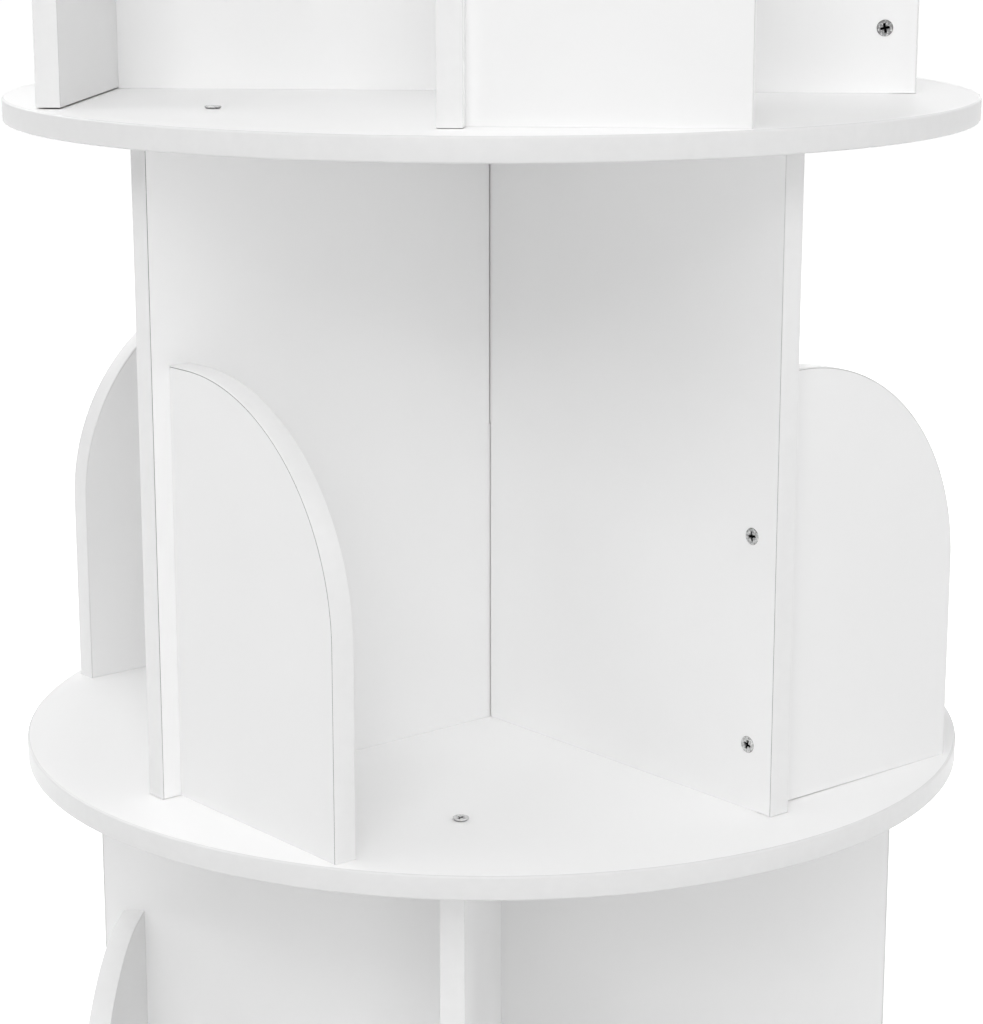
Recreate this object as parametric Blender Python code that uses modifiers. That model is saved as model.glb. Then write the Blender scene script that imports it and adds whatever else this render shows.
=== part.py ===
"""Rotating tower bookcase: round shelves, cross-lapped core boards and arched dividers on a ball turntable.

Every tier stands on a round shelf. Two core boards are slotted into each other to make a cross, and each
of the four arms carries one arched divider near its end, on its counter-clockwise side seen from above.
Neighbouring tiers are turned by half of the arm spacing, so that the screws that come down through a shelf
into the arms below stay clear of the arms above. The whole tower turns on one ball turntable that lies
between the base board and the lowest shelf.
"""
import math

import bmesh
import bpy
from mathutils import Matrix, Vector

# Driving dimensions, in metres
TIER_COUNT = 4                    # book tiers, each between two shelves
BOARD_THICKNESS = 0.011           # shelves, core boards and dividers
EDGE_EASING = 0.0008              # small chamfer on every banded edge
SEAT_GAP = 0.0003                 # gap left between pieces that touch

SHELF_RADIUS = 0.230
CORE_HEIGHT = 0.298               # clear height of one tier
CORE_INSET = 0.030                # shelf's rim to the end of an arm

DIVIDER_LENGTH = 0.117            # from the arm's face outwards
DIVIDER_HEIGHT = 0.199
DIVIDER_ARC = 0.104               # radius of the rounded upper corner
DIVIDER_INSET = 0.010             # end of the arm to the divider's outer face

SCREW_SHANK_RADIUS = 0.00225      # clearance hole
SCREW_HEAD_RADIUS = 0.0038        # countersink at the face
SCREW_HEAD_DEPTH = 0.0026
DIVIDER_SCREW_LOW = 0.030         # lower divider screw above the arm's foot
DIVIDER_SCREW_SPACING = 0.096     # lower to upper divider screw
SHELF_SCREW_INSET = 0.040         # end of the arm to the screws through a shelf

BASE_INSET = 0.030                # shelf's rim to the base board's rim
BASE_THICKNESS = 0.018
GLIDE_COUNT = 6
GLIDE_RADIUS = 0.020
GLIDE_HEIGHT = 0.006
GLIDE_CHAMFER = 0.0012
GLIDE_INSET = 0.012               # base board's rim to the glide's edge

RACE_RADIUS = 0.085               # middle of the ball track
RING_WIDTH = 0.046                # radial width of each turntable ring
RING_THICKNESS = 0.0025
RACE_DEPTH = 0.0015               # depth of the track in each ring
BALL_RADIUS = 0.003
BALL_COUNT = 16
RACE_CLEARANCE = 0.0003           # ball to track
CAGE_WIDTH = 0.016                # radial width of the ball cage
CAGE_THICKNESS = 0.0012
RING_SCREW_COUNT = 6
RING_SCREW_INSET = 0.009          # ring's outer edge to its screw holes

# Fineness of the round forms
SHELF_SEGMENTS = 80
RING_SEGMENTS = 48
GLIDE_SEGMENTS = 16
HOLE_SEGMENTS = 8
ARC_SEGMENTS = 12
RACE_SEGMENTS = 4
BALL_SEGMENTS = 8
BALL_RINGS = 6
CUT_MARGIN = 0.002                # how far a cutter runs past the face that it cuts
WELD_DISTANCE = 0.00001
EASED_CORNER = math.radians(40)   # edges that turn by more than this are eased
SHARP_CORNER = math.radians(30)   # edges that turn by more than this are shaded as corners

# Places that follow from the driving dimensions
QUARTER_TURN = math.pi / 2
ARM_TURNS = [quarter * QUARTER_TURN for quarter in range(4)]
TIER_TURN = QUARTER_TURN / 2
SHELF_COUNT = TIER_COUNT + 1
CORE_REACH = SHELF_RADIUS - CORE_INSET
SHELF_SCREW_RADIUS = CORE_REACH - SHELF_SCREW_INSET
BASE_RADIUS = SHELF_RADIUS - BASE_INSET
DIVIDER_OFFSET = CORE_REACH - DIVIDER_INSET - BOARD_THICKNESS / 2
TRACK_RADIUS = BALL_RADIUS + RACE_CLEARANCE
RING_SPACE = 2 * (TRACK_RADIUS - RACE_DEPTH)
BASE_BOTTOM = GLIDE_HEIGHT + SEAT_GAP
LOWER_RING_BOTTOM = BASE_BOTTOM + BASE_THICKNESS + SEAT_GAP
BALL_HEIGHT = LOWER_RING_BOTTOM + RING_THICKNESS + RING_SPACE / 2
UPPER_RING_TOP = BALL_HEIGHT + RING_SPACE / 2 + RING_THICKNESS
FIRST_SHELF_BOTTOM = UPPER_RING_TOP + SEAT_GAP
TIER_PITCH = BOARD_THICKNESS + CORE_HEIGHT + 2 * SEAT_GAP

# Colour, roughness and metallic value of each finish
FINISHES = {
    "white_board": ((0.80, 0.80, 0.80), 0.45, 0.0),
    "white_divider": ((0.81, 0.81, 0.81), 0.45, 0.0),
    "white_shelf": ((0.82, 0.82, 0.82), 0.42, 0.0),
    "zinc_steel": ((0.62, 0.63, 0.64), 0.35, 1.0),
    "cage_nylon": ((0.75, 0.74, 0.70), 0.50, 0.0),
    "glide_rubber": ((0.05, 0.05, 0.05), 0.80, 0.0),
}


def clear_scene():
    """Remove every object that the scene starts with."""
    for item in list(bpy.data.objects):
        bpy.data.objects.remove(item, do_unlink=True)


def add_collection(name):
    """Make a collection and link it to the scene."""
    collection = bpy.data.collections.new(name)
    bpy.context.scene.collection.children.link(collection)
    return collection


def add_finish(name):
    """Make the material for one finish."""
    colour, roughness, metallic = FINISHES[name]
    material = bpy.data.materials.new(name)
    material.use_nodes = True
    shader = material.node_tree.nodes["Principled BSDF"]
    shader.inputs["Base Color"].default_value = (*colour, 1.0)
    shader.inputs["Roughness"].default_value = roughness
    shader.inputs["Metallic"].default_value = metallic
    material.diffuse_color = (*colour, 1.0)
    return material


def add_empty(name, collection, parent=None, height=0.0, turn=0.0):
    """Make an empty on the turning axis, for other pieces to hang on."""
    empty = bpy.data.objects.new(name, None)
    empty.location.z = height
    empty.rotation_euler.z = turn
    empty.parent = parent
    collection.objects.link(empty)
    return empty


def add_piece(name, data, finish, collection, parent):
    """Make one named piece of the bookcase from a mesh or a curve."""
    piece = bpy.data.objects.new(name, data)
    data.materials.append(finish)
    piece.parent = parent
    collection.objects.link(piece)
    return piece


def add_cutter(name, data, piece, collection):
    """Make a cutter that lies in the frame of the piece that it cuts."""
    cutter = bpy.data.objects.new(name, data)
    cutter.parent = piece
    cutter.hide_render = True
    cutter.display_type = "WIRE"
    collection.objects.link(cutter)
    cut = piece.modifiers.new(name, "BOOLEAN")
    cut.operation = "DIFFERENCE"
    cut.solver = "EXACT"
    cut.object = cutter
    return cutter


def ease_edges(piece, width):
    """Chamfer the sharp edges of a piece."""
    easing = piece.modifiers.new("edge_easing", "BEVEL")
    easing.width = width
    easing.segments = 1
    easing.limit_method = "ANGLE"
    easing.angle_limit = EASED_CORNER


def box_mesh(name, size):
    """Make a box around the origin."""
    shape = bmesh.new()
    bmesh.ops.create_cube(shape, size=1.0, matrix=Matrix.Diagonal((*size, 1.0)))
    return finish_mesh(name, shape)


def cone_mesh(name, bottom_radius, top_radius, depth, segments, places):
    """Make round bodies along the local Z of each place, as one mesh."""
    shape = bmesh.new()
    for place in places:
        bmesh.ops.create_cone(shape, cap_ends=True, segments=segments, radius1=bottom_radius,
                              radius2=top_radius, depth=depth, matrix=place)
    return finish_mesh(name, shape)


def finish_mesh(name, shape):
    """Turn a bmesh into a named mesh."""
    mesh = bpy.data.meshes.new(name)
    shape.to_mesh(mesh)
    shape.free()
    return mesh


def shade_round(mesh):
    """Shade a round piece smooth and keep its corners sharp."""
    mesh.shade_smooth()
    mesh.set_sharp_from_angle(angle=SHARP_CORNER)


def turned_piece(name, profile, segments, finish, collection, parent):
    """Turn a closed profile of (radius, height) points about the piece's Z axis."""
    points = [(radius, 0.0, height) for radius, height in profile]
    edges = [(index, (index + 1) % len(points)) for index in range(len(points))]
    mesh = bpy.data.meshes.new(name)
    mesh.from_pydata(points, edges, [])
    piece = add_piece(name, mesh, finish, collection, parent)
    turn = piece.modifiers.new("turned", "SCREW")
    turn.axis = "Z"
    turn.angle = 2 * math.pi
    turn.steps = segments
    turn.render_steps = segments
    turn.use_merge_vertices = True
    turn.merge_threshold = WELD_DISTANCE
    turn.use_smooth_shade = True
    return piece


def cut_round(piece, label, radii, span, places, cutters):
    """Cut round holes into a piece.

    Each place lies on a face, with its Z axis pointing out of the piece. The radii are those at the lower
    and upper end of the span, which is measured along that axis from the face.
    """
    low, high = span
    middle = Matrix.Translation((0.0, 0.0, (low + high) / 2))
    spots = [place @ middle for place in places]
    mesh = cone_mesh(label, radii[0], radii[1], high - low, HOLE_SEGMENTS, spots)
    add_cutter(f"{piece.name}_{label}", mesh, piece, cutters)


def drill(piece, places, thickness, cutters):
    """Drill clearance holes for screws right through a piece."""
    radii = (SCREW_SHANK_RADIUS, SCREW_SHANK_RADIUS)
    cut_round(piece, "drill", radii, (-thickness - CUT_MARGIN, CUT_MARGIN), places, cutters)


def countersink(piece, places, cutters):
    """Widen drilled holes to a cone for the screw heads."""
    slope = (SCREW_HEAD_RADIUS - SCREW_SHANK_RADIUS) / SCREW_HEAD_DEPTH
    radii = (SCREW_SHANK_RADIUS, SCREW_HEAD_RADIUS + slope * CUT_MARGIN)
    cut_round(piece, "countersink", radii, (-SCREW_HEAD_DEPTH, CUT_MARGIN), places, cutters)


def shelf_screw_places(turn, side):
    """Places over the arms of a tier, on the upper (side 1) or lower (side -1) face of a shelf."""
    spot = Matrix.Translation((SHELF_SCREW_RADIUS, 0.0, side * BOARD_THICKNESS / 2))
    outward = Matrix.Rotation(0.0 if side > 0 else math.pi, 4, "X")
    return [Matrix.Rotation(turn + arm_turn, 4, "Z") @ spot @ outward for arm_turn in ARM_TURNS]


def tier_turn(tier):
    """Angle of a tier's first arm; the top tier's arms lie along X and Y."""
    return (TIER_COUNT - tier) * TIER_TURN


def shelf_height(shelf):
    """Height of the middle of a shelf, counted from 1 at the bottom."""
    return FIRST_SHELF_BOTTOM + BOARD_THICKNESS / 2 + (shelf - 1) * TIER_PITCH


def build_shelf(shelf, finish, parts, cutters, tower):
    """Round shelf, screwed down into the tier below it and up into the tier above it."""
    name = f"shelf_{shelf}"
    mesh = cone_mesh(name, SHELF_RADIUS, SHELF_RADIUS, BOARD_THICKNESS, SHELF_SEGMENTS, [Matrix()])
    shade_round(mesh)
    piece = add_piece(name, mesh, finish, parts, tower)
    piece.location.z = shelf_height(shelf)
    ease_edges(piece, EDGE_EASING)
    places = []
    if shelf > 1:
        places += shelf_screw_places(tier_turn(shelf - 1), 1)
    if shelf < SHELF_COUNT:
        places += shelf_screw_places(tier_turn(shelf), -1)
    drill(piece, places, BOARD_THICKNESS, cutters)
    countersink(piece, places, cutters)


def build_core_board(name, slot_from_top, turn, finish, parts, cutters, tier):
    """Core board: one full width of the cross, slotted over half of its height."""
    size = (2 * CORE_REACH, BOARD_THICKNESS, CORE_HEIGHT)
    piece = add_piece(name, box_mesh(name, size), finish, parts, tier)
    piece.location.z = BOARD_THICKNESS / 2 + SEAT_GAP + CORE_HEIGHT / 2
    piece.rotation_euler.z = turn
    ease_edges(piece, EDGE_EASING)

    side = 1 if slot_from_top else -1
    slot_width = BOARD_THICKNESS + 2 * SEAT_GAP
    slot_depth = CORE_HEIGHT / 2 + SEAT_GAP / 2
    slot_size = (slot_width, BOARD_THICKNESS + 2 * CUT_MARGIN, slot_depth + CUT_MARGIN)
    slot = add_cutter(name + "_slot", box_mesh("slot", slot_size), piece, cutters)
    slot.location.z = side * (CORE_HEIGHT / 2 + CUT_MARGIN - slot_size[2] / 2)

    places = []
    for arm in range(2):
        spin = Matrix.Rotation(arm * 2 * QUARTER_TURN, 4, "Z")
        for rise in (DIVIDER_SCREW_LOW, DIVIDER_SCREW_LOW + DIVIDER_SCREW_SPACING):
            spot = Vector((DIVIDER_OFFSET, -BOARD_THICKNESS / 2, rise - CORE_HEIGHT / 2))
            places.append(spin @ Matrix.Translation(spot) @ Matrix.Rotation(QUARTER_TURN, 4, "X"))
    drill(piece, places, BOARD_THICKNESS, cutters)
    countersink(piece, places, cutters)


def divider_outline():
    """Outline of a divider, from the arm outwards and up, with one quarter-round corner."""
    arc = min(DIVIDER_ARC, DIVIDER_LENGTH - BOARD_THICKNESS, DIVIDER_HEIGHT - BOARD_THICKNESS)
    centre = Vector((DIVIDER_LENGTH - arc, DIVIDER_HEIGHT - arc))
    outline = [Vector((0.0, 0.0)), Vector((DIVIDER_LENGTH, 0.0))]
    for step in range(ARC_SEGMENTS + 1):
        angle = QUARTER_TURN * step / ARC_SEGMENTS
        outline.append(centre + arc * Vector((math.cos(angle), math.sin(angle))))
    outline.append(Vector((0.0, DIVIDER_HEIGHT)))
    return outline


def build_divider(name, turn, finish, parts, tier):
    """Arched divider: a flat outline that stands square to its arm, just inside the arm's end."""
    outline = divider_outline()
    curve = bpy.data.curves.new(name, "CURVE")
    curve.dimensions = "2D"
    curve.fill_mode = "BOTH"
    curve.extrude = BOARD_THICKNESS / 2
    spline = curve.splines.new("POLY")
    spline.points.add(len(outline) - 1)
    for point, spot in zip(spline.points, outline):
        point.co = (spot.x, spot.y, 0.0, 1.0)
    spline.use_cyclic_u = True
    piece = add_piece(name, curve, finish, parts, tier)
    foot = Vector((DIVIDER_OFFSET, BOARD_THICKNESS / 2 + SEAT_GAP, BOARD_THICKNESS / 2 + SEAT_GAP))
    piece.location = Matrix.Rotation(turn, 3, "Z") @ foot
    piece.rotation_euler = (QUARTER_TURN, 0.0, QUARTER_TURN + turn)
    weld = piece.modifiers.new("weld", "WELD")
    weld.merge_threshold = WELD_DISTANCE
    ease_edges(piece, EDGE_EASING)


def build_tier(number, finishes, parts, cutters, tower):
    """One tier: two crossed core boards and a divider on each arm."""
    tier = add_empty(f"tier_{number}_frame", parts, tower, shelf_height(number), tier_turn(number))
    board = finishes["white_board"]
    build_core_board(f"tier_{number}_core_a", True, 0.0, board, parts, cutters, tier)
    build_core_board(f"tier_{number}_core_b", False, QUARTER_TURN, board, parts, cutters, tier)
    for arm, turn in enumerate(ARM_TURNS, start=1):
        build_divider(f"tier_{number}_divider_{arm}", turn, finishes["white_divider"], parts, tier)


def ring_profile():
    """Half section of the lower turntable ring, its track up, with height 0 at the ball's middle."""
    inner = RACE_RADIUS - RING_WIDTH / 2
    outer = RACE_RADIUS + RING_WIDTH / 2
    face = -RING_SPACE / 2
    back = face - RING_THICKNESS
    half_angle = math.acos(-face / TRACK_RADIUS)
    profile = [(inner, back), (inner, face)]
    for step in range(RACE_SEGMENTS + 1):
        angle = half_angle * (2 * step / RACE_SEGMENTS - 1)
        profile.append((RACE_RADIUS + TRACK_RADIUS * math.sin(angle), -TRACK_RADIUS * math.cos(angle)))
    return profile + [(outer, face), (outer, back)]


def build_ring(name, profile, finish, parts, cutters, parent):
    """Turntable ring, with a circle of screw holes outside its track."""
    ring = turned_piece(name, profile, RING_SEGMENTS, finish, parts, parent)
    ring.location.z = BALL_HEIGHT
    top = max(height for radius, height in profile)
    spot = Matrix.Translation((RACE_RADIUS + RING_WIDTH / 2 - RING_SCREW_INSET, 0.0, top))
    step = 2 * math.pi / RING_SCREW_COUNT
    places = [Matrix.Rotation(index * step, 4, "Z") @ spot for index in range(RING_SCREW_COUNT)]
    drill(ring, places, RING_THICKNESS, cutters)


def build_cage(finish, parts, cutters):
    """Ball cage: a flat band with the balls held in it."""
    inner = RACE_RADIUS - CAGE_WIDTH / 2
    outer = RACE_RADIUS + CAGE_WIDTH / 2
    half = CAGE_THICKNESS / 2
    band = [(inner, -half), (inner, half), (outer, half), (outer, -half)]
    axis = add_empty("ball_cage_axis", parts, None, BALL_HEIGHT)
    cage = turned_piece("ball_cage", band, RING_SEGMENTS, finish, parts, axis)
    balls = bmesh.new()
    for index in range(BALL_COUNT):
        spin = Matrix.Rotation(2 * math.pi * index / BALL_COUNT, 4, "Z")
        place = spin @ Matrix.Translation((RACE_RADIUS, 0.0, 0.0))
        bmesh.ops.create_uvsphere(balls, u_segments=BALL_SEGMENTS, v_segments=BALL_RINGS,
                                  radius=BALL_RADIUS, matrix=place)
    add_cutter("ball_cage_balls", finish_mesh("balls", balls), cage, cutters)
    cage.modifiers["ball_cage_balls"].operation = "UNION"


def build_turntable(finishes, parts, cutters, base, tower):
    """Two facing steel rings with a ball track each, and the ball cage between them."""
    steel = finishes["zinc_steel"]
    lower = ring_profile()
    upper = [(radius, -height) for radius, height in reversed(lower)]
    build_ring("turntable_lower_ring", lower, steel, parts, cutters, base)
    build_ring("turntable_upper_ring", upper, steel, parts, cutters, tower)
    build_cage(finishes["cage_nylon"], parts, cutters)


def build_base(finishes, parts, base):
    """Base board that stays still, on a ring of glides."""
    mesh = cone_mesh("base_board", BASE_RADIUS, BASE_RADIUS, BASE_THICKNESS, SHELF_SEGMENTS, [Matrix()])
    shade_round(mesh)
    board = add_piece("base_board", mesh, finishes["white_board"], parts, base)
    board.location.z = BASE_BOTTOM + BASE_THICKNESS / 2
    ease_edges(board, EDGE_EASING)

    glide_ring = BASE_RADIUS - GLIDE_INSET - GLIDE_RADIUS
    for index in range(GLIDE_COUNT):
        name = f"glide_{index + 1}"
        mesh = cone_mesh(name, GLIDE_RADIUS, GLIDE_RADIUS, GLIDE_HEIGHT, GLIDE_SEGMENTS, [Matrix()])
        shade_round(mesh)
        glide = add_piece(name, mesh, finishes["glide_rubber"], parts, base)
        angle = 2 * math.pi * index / GLIDE_COUNT
        glide.location = (glide_ring * math.cos(angle), glide_ring * math.sin(angle), GLIDE_HEIGHT / 2)
        ease_edges(glide, GLIDE_CHAMFER)


def build_bookcase():
    """Build the base, the turntable and the turning tower."""
    clear_scene()
    parts = add_collection("rotating_bookcase")
    cutters = add_collection("cutters")
    finishes = {name: add_finish(name) for name in FINISHES}
    base = add_empty("base_frame", parts)
    tower = add_empty("tower_axis", parts)
    build_base(finishes, parts, base)
    build_turntable(finishes, parts, cutters, base, tower)
    for shelf in range(1, SHELF_COUNT + 1):
        build_shelf(shelf, finishes["white_shelf"], parts, cutters, tower)
    for tier in range(1, TIER_COUNT + 1):
        build_tier(tier, finishes, parts, cutters, tower)
    bpy.context.view_layer.update()


build_bookcase()
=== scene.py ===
"""Looks of the rotating tower bookcase: white faced boards, banded edges, zinc screws and a ball turntable.

Every piece is a surface worked out with numpy, in metres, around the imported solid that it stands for. Sizes
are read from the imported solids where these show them. The top tier's arms lie along X and Y, so the sizes
that all tiers share are read there.
"""

import logging
import math
from dataclasses import dataclass
from enum import Enum, IntEnum

import bmesh
import bpy
import numpy as np
from mathutils import Matrix, Vector

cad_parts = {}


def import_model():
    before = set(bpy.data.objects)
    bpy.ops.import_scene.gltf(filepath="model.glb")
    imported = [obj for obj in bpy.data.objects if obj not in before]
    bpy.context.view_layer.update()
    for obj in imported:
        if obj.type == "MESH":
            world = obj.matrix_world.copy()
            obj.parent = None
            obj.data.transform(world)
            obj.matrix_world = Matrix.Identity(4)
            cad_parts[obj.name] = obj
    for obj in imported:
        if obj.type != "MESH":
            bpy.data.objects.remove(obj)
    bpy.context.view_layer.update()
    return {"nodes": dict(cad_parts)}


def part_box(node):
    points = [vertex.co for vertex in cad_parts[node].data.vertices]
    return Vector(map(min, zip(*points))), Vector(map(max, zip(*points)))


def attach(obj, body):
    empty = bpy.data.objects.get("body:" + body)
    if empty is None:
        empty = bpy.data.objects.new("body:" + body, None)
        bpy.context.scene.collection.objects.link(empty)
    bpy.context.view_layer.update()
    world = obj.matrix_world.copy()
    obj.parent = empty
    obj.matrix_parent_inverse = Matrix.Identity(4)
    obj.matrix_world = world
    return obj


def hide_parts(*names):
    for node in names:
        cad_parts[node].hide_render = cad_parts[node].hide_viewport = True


Array = np.ndarray
Material = bpy.types.Material
Node = bpy.types.Node
NodeTree = bpy.types.NodeTree
Object = bpy.types.Object
Socket = bpy.types.NodeSocket
Point = tuple[float, float, float]

LOG = logging.getLogger("bookcase")
MM = 0.001
FULL_TURN, HALF_TURN, QUARTER_TURN = 2 * math.pi, math.pi, math.pi / 2
ARM_COUNT = 4
SHARP_CORNER = math.radians(32)
FIRST_CROSS, NEXT_CROSS = math.radians(12), math.radians(25)    # angles at which screws came to rest
PROUD_HEAD, FLUSH_HEAD = 1.2 * MM, -0.05 * MM                   # of screws in shelves, over their face
IN_PLACE = Matrix.Identity(4)
TURNED_OVER = Matrix.Rotation(HALF_TURN, 4, "X")
WHITE = "#FFFFFF"

# Sockets of a Mix node that mixes colours
MIX_FACTOR, MIX_A, MIX_B, MIX_COLOUR = 0, 6, 7, 2


class Body(Enum):
    """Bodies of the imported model."""

    BASE = "base"
    CAGE = "ball_cage"
    TOWER = "tower"


class Slot(Enum):
    """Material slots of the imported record."""

    BOARD = "board"
    SHELF = "shelf"
    DIVIDER = "divider"
    STEEL = "turntable_steel"
    CAGE = "cage"
    GLIDE = "glide"


class Lap(Enum):
    """Core boards of a cross: where the slot of each opens, and the letter of its solid."""

    FROM_ABOVE = "a"
    FROM_BELOW = "b"


class Ring(Enum):
    """Rings of the turntable, as their solids are named."""

    LOWER = "lower"
    UPPER = "upper"


class Layer(IntEnum):
    """What shows on a faced board, in the order of its material slots."""

    FACE = 0
    BAND = 1
    GLUE = 2
    CORE = 3


def linear(hex_colour: str) -> tuple[float, float, float, float]:
    """Turn an sRGB hex colour into linear light.

    Args:
        hex_colour: A hash and six hex digits.

    Returns:
        Red, green, blue and an alpha of one.
    """
    srgb = np.frombuffer(bytes.fromhex(hex_colour[1:]), np.uint8) / 255.0
    light = np.where(srgb <= 0.04045, srgb / 12.92, ((srgb + 0.055) / 1.055) ** 2.4)
    return (*light.tolist(), 1.0)


def per_metre(size_mm: float) -> float:
    """Turn the real size of a pattern's grain into its scale on coordinates in metres."""
    return 1000.0 / size_mm


def feed(tree: NodeTree, node: Node, inputs: dict) -> None:
    """Set or link a node's inputs.

    Args:
        tree: Tree of the node.
        node: The node.
        inputs: A value, or the output that feeds it, for each input by name or number.
    """
    for name, value in inputs.items():
        if isinstance(value, Socket):
            tree.links.new(value, node.inputs[name])
        else:
            node.inputs[name].default_value = value


def add_node(tree: NodeTree, kind: str, inputs: dict | None = None, **settings: str) -> Node:
    """Add one node, set it up and link what feeds it.

    Args:
        tree: Tree that the node goes into.
        kind: Blender's name for the kind of node, less the ShaderNode that it starts with.
        inputs: What its inputs hold or what feeds them.
        settings: The node's own properties.

    Returns:
        The new node.
    """
    node = tree.nodes.new("ShaderNode" + kind)
    for name, value in settings.items():
        setattr(node, name, value)
    feed(tree, node, inputs or {})
    return node


def start_material(name: str, **sockets: float) -> tuple[Material, NodeTree, Node, Socket]:
    """Make a material with a Principled shader.

    Args:
        name: Name of the material.
        sockets: Constant values of the shader's sockets.

    Returns:
        The material, its node tree, its shader and the output that gives places on the object.
    """
    material = bpy.data.materials.new(name)
    material.use_nodes = True
    tree = material.node_tree
    shader = tree.nodes["Principled BSDF"]
    feed(tree, shader, sockets)
    return material, tree, shader, add_node(tree, "TexCoord").outputs["Object"]


@dataclass(frozen=True)
class Mottled:
    """Finish whose colour wanders between two tones by one noise, with a relief by another."""

    name: str
    colour: str
    second: str
    roughness: float
    mottle_mm: float
    mottle_detail: float = 4.0
    seed: float = 0.0  # place on the first noise's fourth axis; 0 for a noise of three axes
    contrast: float = 1.0  # of the first noise, about its middle
    relief_mm: float = 1.0
    relief_height_mm: float = 0.0
    relief_detail: float = 2.0
    roughness_swing: float = 0.0  # to both sides, by the relief
    metallic: float = 0.0

    def material(self) -> Material:
        """Mix the tones by the first noise, and let the second one dent and roughen the surface.

        Returns:
            The material.
        """
        sockets = {"Metallic": self.metallic, "Roughness": self.roughness}
        material, tree, shader, place = start_material(self.name, **sockets)
        mottle = add_node(tree, "TexNoise", {"Vector": place, "Detail": self.mottle_detail,
                                             "Scale": per_metre(self.mottle_mm)},
                          noise_dimensions="4D" if self.seed else "3D")
        if self.seed:
            feed(tree, mottle, {"W": self.seed})
        share = mottle.outputs["Fac"]
        if self.contrast > 1.0:
            low, high = 0.5 - 0.5 / self.contrast, 0.5 + 0.5 / self.contrast
            steep = add_node(tree, "MapRange", {"Value": share, "From Min": low, "From Max": high})
            share = steep.outputs["Result"]
        tint = add_node(tree, "Mix", {MIX_FACTOR: share, MIX_A: linear(self.colour),
                                      MIX_B: linear(self.second)}, data_type="RGBA")
        feed(tree, shader, {"Base Color": tint.outputs[MIX_COLOUR]})
        if self.relief_height_mm:
            relief = add_node(tree, "TexNoise", {"Vector": place, "Detail": self.relief_detail,
                                                 "Scale": per_metre(self.relief_mm)}).outputs["Fac"]
            dents = add_node(tree, "Bump", {"Height": relief, "Distance": self.relief_height_mm * MM})
            feed(tree, shader, {"Normal": dents.outputs["Normal"]})
            if self.roughness_swing:
                low, high = self.roughness - self.roughness_swing, self.roughness + self.roughness_swing
                gloss = add_node(tree, "MapRange", {"Value": relief, "To Min": low, "To Max": high})
                feed(tree, shader, {"Roughness": gloss.outputs["Result"]})
        return material


@dataclass(frozen=True)
class Melamine(Mottled):
    """Melamine paper pressed on particle board.

    The eye sees an even, slightly cloudy white that falls off softly into shade, and a dull satin sheen.
    """

    roughness: float = 0.56
    mottle_mm: float = 55.0
    mottle_detail: float = 3.0
    relief_mm: float = 1.1  # the pressed pebble is about 0.3 mm wide, drawn coarser so that it shows
    relief_height_mm: float = 0.006
    roughness_swing: float = 0.07


@dataclass(frozen=True)
class EdgeBand(Mottled):
    """Thin ABS strip glued round a board's edge.

    The eye sees a white a little smoother than the faces, with faint waves where the strip was pressed on.
    """

    roughness: float = 0.38
    mottle_mm: float = 6.0
    relief_mm: float = 18.0
    relief_height_mm: float = 0.02


@dataclass(frozen=True)
class Moulded(Mottled):
    """Moulded polymer: the natural nylon of the ball cage or the black rubber of the glides.

    The eye sees an even colour with a fine dull grain from the mould.
    """

    relief_detail: float = 4.0  # the relief is the noise that mixes the tones


@dataclass(frozen=True)
class BearingSteel(Mottled):
    """Ground and polished bearing balls.

    The eye sees small bright mirrors with a trace of oil haze.
    """

    name: str = "polished_bearing_steel"
    colour: str = "#D0D1D3"
    second: str = "#B4B3AE"
    roughness: float = 0.12
    mottle_mm: float = 2.5
    mottle_detail: float = 2.0
    metallic: float = 1.0


@dataclass(frozen=True)
class GlueLine(Mottled):
    """Hot-melt glue between a board's face and its edge band.

    The eye sees a hair-thin grey line that is dark in some stretches and nearly gone in others.
    """

    name: str = "grey_hot_melt_glue"
    colour: str = "#4C4B49"
    second: str = "#E6E6E5"
    roughness: float = 0.7
    mottle_mm: float = 290.0
    mottle_detail: float = 2.0
    seed: float = 9689.0  # puts dark stretches about where the real lines are darkest
    contrast: float = 4.5


@dataclass(frozen=True)
class ParticleCore:
    """Bare particle board in drilled holes and sawn slots.

    The eye sees a rough grey brown with darker chips; both browns are painted darker than bare board's own
    tan, as the shade deep in narrow slots and holes.
    """

    name: str = "bare_particle_board_painted_shade"
    # Painted shade: both chip colours are darker than bare board, for the shade in slots and holes
    chip: str = "#8B8276"
    dark_chip: str = "#595148"
    roughness: float = 0.85
    chip_mm: float = 1.6
    chip_height_mm: float = 0.15

    def material(self) -> Material:
        """Give each cell of a Voronoi pattern its own brown, and raise the cells.

        Returns:
            The material.
        """
        material, tree, shader, place = start_material(self.name, Roughness=self.roughness)
        chips = add_node(tree, "TexVoronoi", {"Vector": place, "Scale": per_metre(self.chip_mm)}).outputs
        tint = add_node(tree, "Mix", {MIX_FACTOR: chips["Color"], MIX_A: linear(self.chip),
                                      MIX_B: linear(self.dark_chip)}, data_type="RGBA")
        raised = add_node(tree, "Bump", {"Height": chips["Distance"], "Distance": self.chip_height_mm * MM})
        feed(tree, shader, {"Base Color": tint.outputs[MIX_COLOUR], "Normal": raised.outputs["Normal"]})
        return material


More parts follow.
